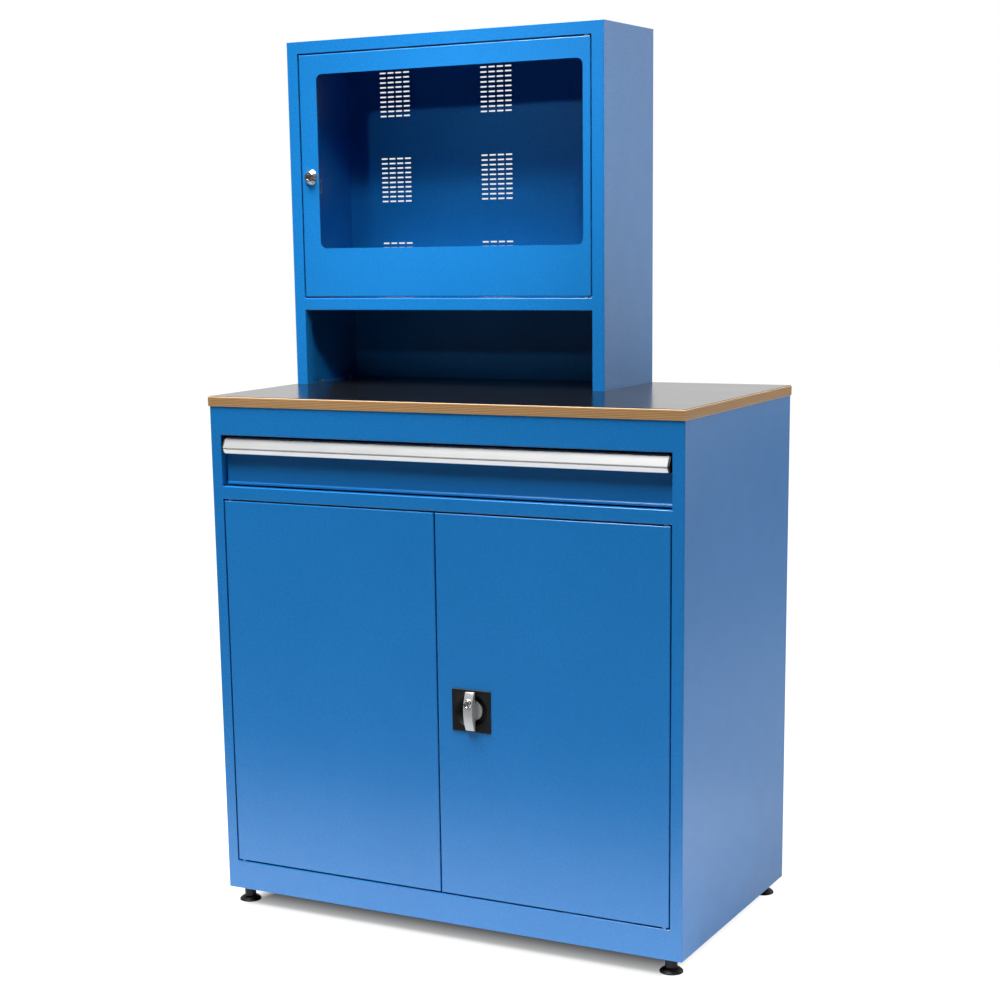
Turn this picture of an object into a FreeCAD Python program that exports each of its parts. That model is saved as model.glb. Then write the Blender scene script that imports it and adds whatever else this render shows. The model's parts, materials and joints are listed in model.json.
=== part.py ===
"""Workshop computer cabinet: a base with a drawer and two doors, a worktop and a screen housing.

Millimetres. +Z is up, the front faces -Y, and the origin is on the floor under the middle of the whole.
Base pieces are drawn from the lower left front corner of the base: x to the right, y to the back, z up.
Housing pieces are drawn the same way from the lower left front corner of the screen housing.
"""
import FreeCAD, Part
import os
import Sketcher

SIZES = {
    # Base cabinet
    "base_width": 1000.0,
    "base_depth": 550.0,
    "sheet_gauge": 1.2,
    "bend_radius": 1.8,
    "stile_width": 23.5,
    "stile_return": 25.0,
    "flange_depth": 40.0,
    "plinth_height": 58.5,
    "middle_rail_height": 25.6,
    "drawer_opening": 101.1,
    "top_rail_height": 55.8,
    "rear_rail_height": 40.0,
    "rear_rail_depth": 25.0,
    # Worktop
    "core_thickness": 19.2,
    "laminate_thickness": 0.8,
    "worktop_overhang": 2.0,
    "worktop_arris": 1.4,
    "worktop_screw_radius": 2.2,
    "worktop_screw_length": 14.0,
    "worktop_screw_inset": 12.0,
    "worktop_screw_spacing": 330.0,
    "screw_head_height": 2.6,
    "screw_head_radius": 4.4,
    # Levelling feet
    "foot_height": 31.5,
    "foot_inset_side": 32.0,
    "foot_inset_end": 28.0,
    "foot_pad_radius": 22.0,
    "foot_rim_height": 2.5,
    "foot_dome_height": 7.0,
    "foot_dome_bow": 0.8,
    "foot_boss_radius": 11.5,
    "foot_stud_radius": 5.0,
    "foot_stud_reach": 34.0,
    "foot_plate_size": 60.0,
    "foot_plate_gauge": 4.0,
    "foot_nut_wall": 3.4,
    "foot_nut_height": 8.0,
    # Doors and their pivots
    "door_gap": 3.0,
    "door_height": 741.0,
    "door_depth": 15.0,
    "pivot_from_edge": 10.0,
    "pivot_radius": 3.0,
    "pivot_block_height": 14.0,
    "pivot_block_width": 16.0,
    "bush_wall": 0.95,
    "bush_collar_width": 1.0,
    "bush_sink": 5.0,
    "pivot_end_room": 1.0,
    "run_clearance": 0.05,
    "seat_clearance": 0.3,
    # Left door catch
    "catch_width": 26.0,
    "catch_height": 18.0,
    "catch_depth": 14.0,
    # Turn-handle lock
    "lock_from_edge": 71.5,
    "lock_height": 368.5,
    "lock_plate_size": 82.0,
    "lock_plate_proud": 2.0,
    "dish_mouth_radius": 33.5,
    "dish_floor_radius": 27.0,
    "dish_wall": 2.5,
    "rotor_radius": 20.0,
    "rotor_thickness": 5.0,
    "handle_shaft_radius": 6.0,
    "grip_length": 75.0,
    "grip_width": 19.0,
    "grip_end_thickness": 4.5,
    "grip_bow": 9.5,
    "grip_lift": 1.0,
    "grip_neck_height": 34.0,
    "key_offset": 17.0,
    "key_ring_radius": 8.5,
    "key_ring_proud": 1.0,
    "key_barrel_radius": 6.5,
    "key_barrel_length": 11.0,
    "key_slot_width": 1.6,
    "key_slot_length": 7.0,
    "key_slot_depth": 3.0,
    # Lock rods behind the turn handle
    "cam_plate_radius": 15.0,
    "cam_plate_gauge": 3.0,
    "cam_pin_circle": 11.0,
    "cam_pin_radius": 2.5,
    "cam_rod_gap": 1.1,
    "rod_gap": 0.8,
    "rod_setback": 0.9,
    "rod_slot_wall": 4.4,
    "rod_gauge": 3.0,
    "rod_slot_play": 0.5,
    "rod_tip_reach": 1.2,
    "rail_slot_play": 0.6,
    "rod_guide_height": 10.0,
    "rod_guide_wall": 4.0,
    "rod_guide_inset": 18.0,
    # Drawer
    "drawer_recess": 15.0,
    "drawer_side_gap": 4.0,
    "drawer_floor_gap": 3.7,
    "drawer_top_gap": 4.2,
    "drawer_cove_radius": 2.5,
    "drawer_hem_height": 4.0,
    "drawer_hem_proud": 3.5,
    "drawer_hem_round": 0.9,
    "tray_lift": 6.0,
    "tray_top_room": 17.0,
    "tray_back_room": 31.4,
    "tray_gauge": 1.0,
    "handle_height": 31.5,
    "handle_wall": 2.0,
    "handle_top_setback": 6.0,
    "handle_nose_proud": 5.0,
    "handle_nose_drop": 20.0,
    "handle_nose_height": 2.5,
    "handle_back_height": 28.0,
    "end_cap_thickness": 4.0,
    # Telescopic drawer slides
    "slide_height": 45.0,
    "slide_thickness": 12.7,
    "slide_gauge": 1.2,
    "slide_play": 0.5,
    "slide_rise": 10.0,
    "slide_setback": 30.0,
    "slide_end_room": 6.2,
    "slide_stile_gap": 1.0,
    # Shelf
    "shelf_level": 400.0,
    "shelf_fold": 25.0,
    "shelf_setback": 60.0,
    "shelf_side_gap": 2.0,
    "clip_length": 25.0,
    "clip_reach": 16.0,
    "clip_gauge": 3.0,
    "clip_inset": 60.0,
    # Screen housing
    "housing_width": 703.0,
    "housing_stile_width": 25.2,
    "housing_depth": 238.0,
    "housing_inset": 5.0,
    "bay_height": 153.0,
    "deck_rail_height": 24.5,
    "rail_lip": 20.0,
    "screen_door_height": 480.5,
    "roof_rail_height": 23.7,
    "roof_edge_radius": 0.6,
    "housing_bolt_radius": 3.0,
    "housing_bolt_length": 16.0,
    "housing_bolt_head_radius": 5.5,
    "housing_bolt_head_height": 4.0,
    "housing_bolt_inset": 50.0,
    # Vent slots in the housing back
    "vent_slot_width": 14.7,
    "vent_slot_height": 3.0,
    "vent_column_pitch": 19.0,
    "vent_row_pitch": 9.8,
    "vent_group_pitch_x": 240.0,
    "vent_group_pitch_z": 176.0,
    "vent_top_margin": 50.0,
    "vent_offset_x": 3.5,
    # Screen door window and cam lock
    "window_lock_gap": 3.7,
    "window_hinge_margin": 15.5,
    "window_top_margin": 38.5,
    "window_bottom_margin": 97.5,
    "window_corner_radius": 13.0,
    "pane_thickness": 3.0,
    "pane_overlap": 4.5,
    "pane_clip_length": 20.0,
    "pane_clip_foot": 8.0,
    "pane_clip_gauge": 1.5,
    "cam_lock_from_edge": 21.5,
    "cam_lock_collar_radius": 15.0,
    "cam_lock_face_radius": 10.0,
    "cam_lock_proud": 10.0,
    "cam_lock_barrel_radius": 8.0,
    "cam_lock_plug_radius": 5.5,
    "cam_lock_nut_wall": 0.8,
    "cam_lock_nut_height": 6.0,
    "tongue_length": 32.0,
    "tongue_width": 14.0,
    "tongue_gauge": 2.0,
    "tongue_clearance": 1.0,
}
VENT_GROUPS = 3
VENT_COLUMNS = 4
VENT_ROWS = 10
PANE_CLIPS = 3
COS_45 = 2 ** -0.5
COS_30 = 3 ** 0.5 / 2
# How far a cutting tool passes the face that it cuts
PAST = 1.0
# How near two coordinates count as equal
ON_PLANE = 1e-6

doc = FreeCAD.newDocument("ComputerCabinet")
sheet = doc.addObject("Spreadsheet::Sheet", "Sizes")
for row, (alias, value) in enumerate(SIZES.items(), start=1):
    sheet.set("A%d" % row, alias)
    sheet.set("B%d" % row, str(value))
    sheet.setAlias("B%d" % row, alias)
doc.recompute()


class Size:
    """A length known both as a number and as a formula on the sheet."""

    def __init__(self, formula, value):
        self.formula = formula
        self.value = value

    def __float__(self):
        return self.value

    def __add__(self, other):
        other = as_size(other)
        return Size("(%s + %s)" % (self.formula, other.formula), self.value + other.value)

    def __sub__(self, other):
        other = as_size(other)
        return Size("(%s - %s)" % (self.formula, other.formula), self.value - other.value)

    def __mul__(self, other):
        other = as_size(other)
        return Size("(%s * %s)" % (self.formula, other.formula), self.value * other.value)

    def __truediv__(self, other):
        other = as_size(other)
        return Size("(%s / %s)" % (self.formula, other.formula), self.value / other.value)

    def __neg__(self):
        return Size("(-%s)" % self.formula, -self.value)

    def __radd__(self, other):
        return as_size(other) + self

    def __rsub__(self, other):
        return as_size(other) - self

    def __rmul__(self, other):
        return as_size(other) * self


def as_size(thing):
    """A plain number taken as a Size."""
    return thing if isinstance(thing, Size) else Size("(%r)" % float(thing), float(thing))


class Dimensions:
    """The sheet's values, read by name."""

    def __getattr__(self, alias):
        return Size("Sizes." + alias, float(sheet.get(alias)))


d = Dimensions()


def bind(item, prop, length):
    """A property of an item follows a formula on the sheet."""
    item.setExpression(prop, as_size(length).formula)


def bind_place(item, x, y, z):
    """An item's place follows the sheet."""
    for axis, length in zip("xyz", (x, y, z)):
        bind(item, "Placement.Base." + axis, length)


def box(x, y, z):
    """A block between two planes along each axis."""
    block = doc.addObject("Part::Box", "Block")
    for edge, (low, high) in zip(("Length", "Width", "Height"), (x, y, z)):
        bind(block, edge, as_size(high) - low)
    bind_place(block, x[0], y[0], z[0])
    return block


TURNS = {
    "x": FreeCAD.Rotation(FreeCAD.Vector(0, 1, 0), 90),
    "y": FreeCAD.Rotation(FreeCAD.Vector(1, 0, 0), -90),
    "z": FreeCAD.Rotation(),
}


def place_along(item, axis, low, across):
    """An item made along +Z, laid along an axis from its low end, at the other two coordinates."""
    item.Placement = FreeCAD.Placement(FreeCAD.Vector(), TURNS[axis])
    spot = dict(across)
    spot[axis] = low
    bind_place(item, spot["x"], spot["y"], spot["z"])


def bar(axis, span, radius, **across):
    """A round bar along an axis, between two places on it."""
    item = doc.addObject("Part::Cylinder", "Bar")
    bind(item, "Radius", radius)
    bind(item, "Height", as_size(span[1]) - span[0])
    place_along(item, axis, span[0], across)
    return item


def cone(axis, span, radii, **across):
    """A round taper along an axis, from one radius to the other."""
    item = doc.addObject("Part::Cone", "Taper")
    bind(item, "Radius1", radii[0])
    bind(item, "Radius2", radii[1])
    bind(item, "Height", as_size(span[1]) - span[0])
    place_along(item, axis, span[0], across)
    return item


def hexagon(axis, span, radius, **across):
    """A hexagonal prism along an axis, with the radius of its corners."""
    item = doc.addObject("Part::Prism", "Hexagon")
    item.Polygon = 6
    bind(item, "Circumradius", radius)
    bind(item, "Height", as_size(span[1]) - span[0])
    place_along(item, axis, span[0], across)
    return item


def group(*items):
    """Separate solids kept as one item."""
    item = doc.addObject("Part::Compound", "Group")
    item.Links = list(items)
    return item


def fuse(*items):
    """Solids joined into one."""
    item = doc.addObject("Part::MultiFuse", "Joined")
    item.Shapes = list(items)
    item.Refine = True
    return item


def cut(base, *tools):
    """A solid with the tools taken away."""
    item = doc.addObject("Part::Cut", "Cut")
    item.Base = base
    item.Tool = tools[0] if len(tools) == 1 else group(*tools)
    item.Refine = True
    return item


def edges_on(shape, planes):
    """Numbers of the edges that lie on every one of the given coordinate planes."""
    found = []
    for number, edge in enumerate(shape.Edges, start=1):
        extent = edge.BoundBox
        limits = {
            "x": (extent.XMin, extent.XMax),
            "y": (extent.YMin, extent.YMax),
            "z": (extent.ZMin, extent.ZMax),
        }
        if all(abs(end - float(place)) < ON_PLANE for axis, place in planes.items() for end in limits[axis]):
            found.append(number)
    return found


def worked_edges(kind, base, amount, places):
    """A solid whose edges on the given planes are rounded or bevelled."""
    doc.recompute()
    item = doc.addObject(kind, "Edged")
    item.Base = base
    chosen = [number for planes in places for number in edges_on(base.Shape, planes)]
    item.Edges = [(number, float(amount), float(amount)) for number in chosen]
    return item


def rounded(base, radius, *places):
    return worked_edges("Part::Fillet", base, radius, places)


def bevelled(base, width, *places):
    return worked_edges("Part::Chamfer", base, width, places)


def outline(body, plane, offset, corners, arcs):
    """A closed sketch through corners; an edge listed in arcs bulges with (radius, +1 left or -1 right)."""
    sketch = body.newObject("Sketcher::SketchObject", body.Name + "Outline")
    sketch.AttachmentSupport = (next(f for f in body.Origin.OriginFeatures if f.Role == plane), "")
    sketch.MapMode = "FlatFace"
    bind(sketch, "AttachmentOffset.Base.z", offset)
    spots = [FreeCAD.Vector(float(u), float(v), 0) for u, v in corners]
    count = len(corners)
    ends = []
    for edge in range(count):
        start, end = spots[edge], spots[(edge + 1) % count]
        if edge in arcs:
            radius, hand = arcs[edge]
            along = end - start
            half = along.Length / 2
            rise = float(radius) - (float(radius) ** 2 - half ** 2) ** 0.5
            left = FreeCAD.Vector(-along.y, along.x, 0).normalize()
            middle = start + along * 0.5 + left * (hand * rise)
            line = Part.Arc(start, middle, end) if hand < 0 else Part.Arc(end, middle, start)
        else:
            line = Part.LineSegment(start, end)
        sketch.addGeometry(line, False)
        kept = sketch.Geometry[edge]
        ends.append((1, 2) if (kept.StartPoint - start).Length < ON_PLANE else (2, 1))
    for edge in range(count):
        sketch.addConstraint(Sketcher.Constraint("Coincident", edge - 1 if edge else count - 1,
                                                 ends[edge - 1][1], edge, ends[edge][0]))
        for kind, axis, length in zip(("DistanceX", "DistanceY"), "uv", corners[edge]):
            rule = sketch.addConstraint(Sketcher.Constraint(kind, -1, 1, edge, ends[edge][0], float(length)))
            sketch.renameConstraint(rule, "%s%d" % (axis, edge))
            bind(sketch, "Constraints.%s%d" % (axis, edge), length)
    for edge, (radius, hand) in arcs.items():
        rule = sketch.addConstraint(Sketcher.Constraint("Radius", edge, float(radius)))
        sketch.renameConstraint(rule, "bow%d" % edge)
        bind(sketch, "Constraints.bow%d" % edge, radius)
    return sketch


def profile_bar(name, span, corners, arcs=None):
    """A bar of constant section along x: the section's corners are (y, z)."""
    body = doc.addObject("PartDesign::Body", name)
    sketch = outline(body, "YZ_Plane", span[0], corners, arcs or {})
    pad = body.newObject("PartDesign::Pad", name + "Pad")
    pad.Profile = sketch
    bind(pad, "Length", as_size(span[1]) - span[0])
    return body


def turned(name, corners, arcs=None):
    """A turned piece about z: the half section's corners are (radius, z)."""
    body = doc.addObject("PartDesign::Body", name)
    sketch = outline(body, "XZ_Plane", 0, corners, arcs or {})
    spin = body.newObject("PartDesign::Revolution", name + "Spin")
    spin.Profile = sketch
    spin.ReferenceAxis = (sketch, ["V_Axis"])
    spin.Angle = 360
    return body


def mirrored_span(side, span, width):
    """A span measured from the named side of something of the given width."""
    return span if side == "left" else (width - span[1], width - span[0])


def mirrored_place(side, place, width):
    return as_size(place) if side == "left" else width - place


SIDES = ("left", "right")
gauge = d.sheet_gauge
worktop_thickness = d.core_thickness + d.laminate_thickness
pivot_depth = d.door_depth / 2
door_bottom = d.plinth_height + d.door_gap
door_top = door_bottom + d.door_height
middle_rail_bottom = door_top + d.door_gap
middle_rail_top = middle_rail_bottom + d.middle_rail_height
top_rail_bottom = middle_rail_top + d.drawer_opening
base_height = top_rail_bottom + d.top_rail_height
grip_proud = d.lock_plate_proud + d.grip_lift + d.grip_end_thickness + d.grip_bow + d.key_ring_proud
front_plane = (grip_proud - d.base_depth) / 2
BASE = (-d.base_width / 2, front_plane, d.foot_height)
HOUSING = (
    d.housing_inset - d.base_width / 2,
    front_plane + d.base_depth - d.housing_depth,
    d.foot_height + base_height + worktop_thickness,
)
sub_parts = []


def sub_part(item, label, corner=BASE):
    """An item finished as a piece of the cabinet, with its name and its place."""
    item.Label = label
    bind_place(item, *corner)
    sub_parts.append(item)
    return item


# Base cabinet: spans and places that several pieces share
between_stiles = (d.stile_width, d.base_width - d.stile_width)
between_sides = (gauge, d.base_width - gauge)
door_edge = d.stile_width + d.door_gap
pivot_x = door_edge + d.pivot_from_edge
back_inside = d.base_depth - 2 * gauge
lock_x = d.base_width / 2 + d.door_gap / 2 + d.lock_from_edge
lock_z = door_bottom + d.lock_height
pin_hole = d.pivot_radius + d.run_clearance
bush_radius = pin_hole + d.bush_wall
bush_hole = bush_radius + d.run_clearance
pin_reach = d.cam_pin_circle * COS_45
rod_near = d.rod_gap / 2
rod_far = d.cam_pin_circle + d.cam_pin_radius + d.rod_slot_play + d.rod_slot_wall
rod_offset = (rod_near + rod_far) / 2
half_rod = (rod_far - rod_near) / 2
rod_front = d.door_depth + d.rod_setback
rod_back = rod_front + d.rod_gauge
rod_play = d.seat_clearance


def folded_side(side, width, stile, depth, height, opening, rear, return_foot=None):
    """A side wall of sheet with its front stile and return, hollow inside the opening and up to the rear."""
    floor, roof = opening
    outer = mirrored_place(side, 0, width)
    blank = box(mirrored_span(side, (0, stile), width), (0, depth), (0, height))
    bent = rounded(blank, d.bend_radius, {"x": outer, "y": 0}, {"x": outer, "y": depth})
    inside = box(mirrored_span(side, (gauge, stile - gauge), width),
                 (gauge, rear), (floor, roof))
    mouth = box(mirrored_span(side, (gauge, stile + PAST), width),
                (d.stile_return, rear), (floor, roof))
    tools = [inside, mouth]
    if return_foot:
        tools.append(box(mirrored_span(side, (gauge, stile + PAST), width),
                         (gauge, d.stile_return + PAST), (floor, return_foot)))
    return cut(bent, *tools)


def worktop_screw_places():
    """Screws along both side flanges and the front rail, as (x, y) on the base."""
    middle = d.base_depth / 2
    half = d.worktop_screw_spacing / 2
    for side in SIDES:
        for y in (middle - half, middle + half):
            yield mirrored_place(side, d.worktop_screw_inset, d.base_width), y
    for x in (d.base_width / 2 - half, d.base_width / 2 + half):
        yield x, d.flange_depth / 2


def screw_bars(radius, span):
    return [bar("z", span, radius, x=x, y=y) for x, y in worktop_screw_places()]


screw_hole = d.worktop_screw_radius + d.run_clearance
under_flange = base_height - gauge
flange_span = (under_flange - PAST, base_height + PAST)

for side in SIDES:
    panel = folded_side(side, d.base_width, d.stile_width, d.base_depth, base_height,
                        (-PAST, under_flange), d.base_depth - gauge, d.plinth_height)
    sub_part(cut(panel, *screw_bars(screw_hole, flange_span)), side + "_side_panel")

sub_part(group(box(between_sides, (back_inside, d.base_depth - gauge), (0, under_flange))), "back_panel")

floor_sheet = box(between_sides, (d.flange_depth, back_inside),
                  (d.plinth_height - d.shelf_fold, d.plinth_height))
floor_inside = box((2 * gauge, d.base_width - 2 * gauge), (d.flange_depth + gauge, back_inside - gauge),
                   (-PAST, d.plinth_height - gauge))
sub_part(cut(floor_sheet, floor_inside), "cabinet_floor")


def rod_slot(hand, span):
    """A clearance slot for a lock rod in a rail's flange; hand is +1 for the upper rod, -1 for the lower."""
    middle = lock_x + rod_offset * hand
    half = half_rod + d.rail_slot_play
    depth = (rod_front - d.rail_slot_play, rod_back + d.rail_slot_play)
    return box((middle - half, middle + half), depth, span)


def pivot_holes(span):
    return [bar("z", span, bush_hole, x=mirrored_place(side, pivot_x, d.base_width), y=pivot_depth)
            for side in SIDES]


plinth_bar = rounded(box(between_stiles, (0, d.flange_depth), (0, d.plinth_height)), d.bend_radius,
                     {"y": 0, "z": d.plinth_height})
plinth_inside = box((0, d.base_width), (gauge, d.flange_depth + PAST),
                    (-PAST, d.plinth_height - gauge))
plinth_flange = (d.plinth_height - gauge - PAST, d.plinth_height + PAST)
sub_part(cut(plinth_bar, plinth_inside, rod_slot(-1, plinth_flange), *pivot_holes(plinth_flange)),
         "plinth_rail")

middle_bar = rounded(box(between_stiles, (0, d.flange_depth), (middle_rail_bottom, middle_rail_top)),
                     d.bend_radius, {"y": 0, "z": middle_rail_bottom}, {"y": 0, "z": middle_rail_top})
middle_inside = box((0, d.base_width), (gauge, d.flange_depth + PAST),
                    (middle_rail_bottom + gauge, middle_rail_top - gauge))
middle_flange = (middle_rail_bottom - PAST, middle_rail_bottom + gauge + PAST)
sub_part(cut(middle_bar, middle_inside, rod_slot(1, middle_flange), *pivot_holes(middle_flange)),
         "middle_rail")

top_bar = rounded(box(between_stiles, (0, d.flange_depth), (top_rail_bottom, base_height)), d.bend_radius,
                  {"y": 0, "z": top_rail_bottom})
top_inside = box((0, d.base_width), (gauge, d.flange_depth + PAST), (top_rail_bottom + gauge, under_flange))
sub_part(cut(top_bar, top_inside, *screw_bars(screw_hole, flange_span)), "top_rail")

rear_rail = box(between_sides, (back_inside - d.rear_rail_depth, back_inside),
                (under_flange - d.rear_rail_height, under_flange))
rear_inside = box((0, d.base_width), (back_inside - d.rear_rail_depth - PAST, back_inside - gauge),
                  (under_flange - d.rear_rail_height + gauge, under_flange - gauge))
sub_part(cut(rear_rail, rear_inside), "rear_rail")

# Worktop: plywood core with bevelled arrises, and the laminate on it
overhang = d.worktop_overhang
core_level = (base_height, base_height + d.core_thickness)
core_x = (-overhang, d.base_width + overhang)
core_y = (-overhang, d.base_depth)
core = bevelled(box(core_x, core_y, core_level), d.worktop_arris,
                *[{axis: edge, "z": level} for level in core_level
                  for axis, edge in (("x", core_x[0]), ("x", core_x[1]), ("y", core_y[0]))])


def housing_bolt_places():
    """Bolts in the housing's side flanges, as (x, y) on the housing."""
    for side in SIDES:
        for y in (d.stile_return + d.housing_bolt_inset, d.housing_depth - d.housing_bolt_inset):
            yield mirrored_place(side, d.housing_stile_width / 2, d.housing_width), y


def housing_bolt_bars(radius, span, on_base):
    """Round bars at the housing bolts, on the housing or carried over to the base."""
    right = d.housing_inset if on_base else 0
    back = d.base_depth - d.housing_depth if on_base else 0
    return [bar("z", span, radius, x=x + right, y=y + back) for x, y in housing_bolt_places()]


bolt_hole = d.housing_bolt_radius + d.run_clearance
bolt_span = (core_level[1] + d.laminate_thickness - d.housing_bolt_length, core_level[1] + PAST)
screw_span = (base_height - PAST, under_flange + d.worktop_screw_length)
sub_part(cut(core, *screw_bars(screw_hole, screw_span), *housing_bolt_bars(bolt_hole, bolt_span, True)),
         "worktop_core")

laminate = box((core_x[0] + d.worktop_arris, core_x[1] - d.worktop_arris),
               (core_y[0] + d.worktop_arris, core_y[1]),
               (core_level[1], core_level[1] + d.laminate_thickness))
laminate_span = (core_level[1] - PAST, core_level[1] + d.laminate_thickness + PAST)
sub_part(cut(laminate, *housing_bolt_bars(bolt_hole, laminate_span, True)), "worktop_laminate")

shanks = screw_bars(d.worktop_screw_radius, (under_flange, under_flange + d.worktop_screw_length))
heads = screw_bars(d.screw_head_radius, (under_flange - d.screw_head_height, under_flange))
sub_part(group(*[fuse(shank, head) for shank, head in zip(shanks, heads)]), "worktop_screws")

# Levelling feet, the plates that carry them and their lock nuts
stud_hole = d.foot_stud_radius + d.run_clearance
foot_nut_radius = (stud_hole + d.foot_nut_wall) / COS_30


def foot_places():
    """The four feet, as name, x and y on the base."""
    for end, y in (("front", d.foot_inset_end), ("rear", d.base_depth - d.foot_inset_end)):
        for side in SIDES:
            yield end + "_" + side, mirrored_place(side, d.foot_inset_side, d.base_width), y


def foot_plates():
    """A square plate with its stud hole in each lower corner."""
    size = d.foot_plate_size
    ends = {"front": (gauge, gauge + size), "rear": (back_inside - size, back_inside)}
    for name, x, y in foot_places():
        end, side = name.split("_")
        plate = box(mirrored_span(side, (gauge, gauge + size), d.base_width), ends[end],
                    (0, d.foot_plate_gauge))
        yield cut(plate, bar("z", (-PAST, d.foot_plate_gauge + PAST), stud_hole, x=x, y=y))


def foot_nuts():
    """A hexagonal lock nut on each plate."""
    top = d.foot_plate_gauge + d.foot_nut_height
    for name, x, y in foot_places():
        nut = hexagon("z", (d.foot_plate_gauge, top), foot_nut_radius, x=x, y=y)
        yield cut(nut, bar("z", (0, top + PAST), stud_hole, x=x, y=y))


sub_part(group(*foot_plates()), "foot_plates")
sub_part(group(*foot_nuts()), "foot_nuts")

dome_top = d.foot_rim_height + d.foot_dome_height
dome_chord = ((d.foot_pad_radius - d.foot_boss_radius) * (d.foot_pad_radius - d.foot_boss_radius)
              + d.foot_dome_height * d.foot_dome_height)
dome_radius = (dome_chord / 4 + d.foot_dome_bow * d.foot_dome_bow) / (2 * d.foot_dome_bow)
for name, x, y in foot_places():
    foot = turned("Foot", [
        (0, 0),
        (d.foot_pad_radius, 0),
        (d.foot_pad_radius, d.foot_rim_height),
        (d.foot_boss_radius, dome_top),
        (d.foot_boss_radius, d.foot_height),
        (d.foot_stud_radius, d.foot_height),
        (d.foot_stud_radius, d.foot_height + d.foot_stud_reach),
        (0, d.foot_height + d.foot_stud_reach),
    ], {2: (dome_radius, -1)})
    sub_part(foot, "foot_" + name, (BASE[0] + x, BASE[1] + y, BASE[2] - d.foot_height))


# Doors: folded pans, with a pin and block at each end of the hinged edge
def door_pan(x, z, holes):
    """A pan of sheet, open at the back, with its front edges rounded."""
    face = rounded(box(x, (0, d.door_depth), z), d.bend_radius, {"y": 0})
    inside = box((x[0] + gauge, x[1] - gauge), (gauge, d.door_depth + PAST), (z[0] + gauge, z[1] - gauge))
    return cut(face, inside, *holes)


def pan_pin_holes(x, z):
    """Holes for the pivot pins in a pan's upper and lower folds."""
    return [bar("z", (level - PAST, level + gauge + PAST), pin_hole, x=x, y=pivot_depth)
            for level in (z[0], z[1] - gauge)]


def pivots(side, x, z):
    """A block with its pin at the lower and at the upper end of a door hinged at the named side."""
    reach = d.door_gap + gauge + d.bush_sink - d.pivot_end_room
    to_edge, inwards = d.pivot_from_edge - gauge, d.pivot_block_width / 2
    block_x = (x - to_edge, x + inwards) if side == "left" else (x - inwards, x + to_edge)
    block_y = (gauge, d.door_depth)
    low, high = z[0] + gauge, z[1] - gauge
    return group(
        fuse(box(block_x, block_y, (low, low + d.pivot_block_height)),
             bar("z", (z[0] - reach, low), d.pivot_radius, x=x, y=pivot_depth)),
        fuse(box(block_x, block_y, (high - d.pivot_block_height, high)),
             bar("z", (high, z[1] + reach), d.pivot_radius, x=x, y=pivot_depth)),
    )


def bushes(x, z):
    """Nylon bushes with collars, below and above a door's hinged edge."""
    collar = d.door_gap - d.seat_clearance
    sleeve = gauge + d.bush_sink
    collar_radius = bush_radius + d.bush_collar_width
    low, high = z[0] - d.door_gap, z[1] + d.door_gap
    lower = fuse(bar("z", (low - sleeve, low), bush_radius, x=x, y=pivot_depth),
                 bar("z", (low, low + collar), collar_radius, x=x, y=pivot_depth))
    upper = fuse(bar("z", (high, high + sleeve), bush_radius, x=x, y=pivot_depth),
                 bar("z", (high - collar, high), collar_radius, x=x, y=pivot_depth))
    bore = bar("z", (low - sleeve, high + sleeve), pin_hole, x=x, y=pivot_depth)
    return [cut(lower, bore), cut(upper, bore)]


door_z = (door_bottom, door_top)
half_gap = d.door_gap / 2
left_door_x = (door_edge, d.base_width / 2 - half_gap)
right_door_x = (d.base_width / 2 + half_gap, d.base_width - door_edge)
right_pivot_x = d.base_width - pivot_x
dish_radius = d.dish_mouth_radius + d.dish_wall
dish_hole = bar("y", (-PAST, gauge + PAST), dish_radius + d.seat_clearance, x=lock_x, z=lock_z)
sub_part(door_pan(left_door_x, door_z, pan_pin_holes(pivot_x, door_z)), "left_door")
sub_part(door_pan(right_door_x, door_z, [dish_hole] + pan_pin_holes(right_pivot_x, door_z)), "right_door")
sub_part(pivots("left", pivot_x, door_z), "left_door_pivots")
sub_part(pivots("right", right_pivot_x, door_z), "right_door_pivots")
sub_part(group(*bushes(pivot_x, door_z), *bushes(right_pivot_x, door_z)), "door_bushes")

# Catch for the left door: a magnet under the middle rail, and a strike in the door's free top corner
strike_x = (left_door_x[1] - gauge - d.catch_width, left_door_x[1] - gauge)
strike_z = (door_top - gauge - d.catch_height, door_top - gauge)
sub_part(group(box(strike_x, (d.door_depth - gauge, d.door_depth), strike_z)), "catch_strike")
magnet_y = (d.door_depth + d.seat_clearance, d.door_depth + d.seat_clearance + d.catch_depth)
sub_part(group(box(strike_x, magnet_y, (strike_z[0], middle_rail_bottom))), "catch_magnet")

# Turn-handle lock: dish, handle, key barrel, cam plate, rods and their guides
plate_front = -d.lock_plate_proud
cam_back = rod_front - d.cam_rod_gap
cam_front = cam_back - d.cam_plate_gauge
dish_back = cam_front - d.seat_clearance
dish_floor = dish_back - d.dish_wall
half_plate = d.lock_plate_size / 2
shaft_hole = d.handle_shaft_radius + d.run_clearance
plate = rounded(box((lock_x - half_plate, lock_x + half_plate), (plate_front, 0),
                    (lock_z - half_plate, lock_z + half_plate)), d.lock_plate_proud / 2, {"y": plate_front})
dish = fuse(plate, bar("y", (-d.lock_plate_proud / 2, dish_back), dish_radius, x=lock_x, z=lock_z))
hollow = cone("y", (plate_front, dish_floor), (d.dish_mouth_radius, d.dish_floor_radius), x=lock_x, z=lock_z)
shaft_bore = bar("y", (dish_floor - PAST, dish_back + PAST), shaft_hole, x=lock_x, z=lock_z)
sub_part(cut(dish, hollow, shaft_bore), "lock_dish")

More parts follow.
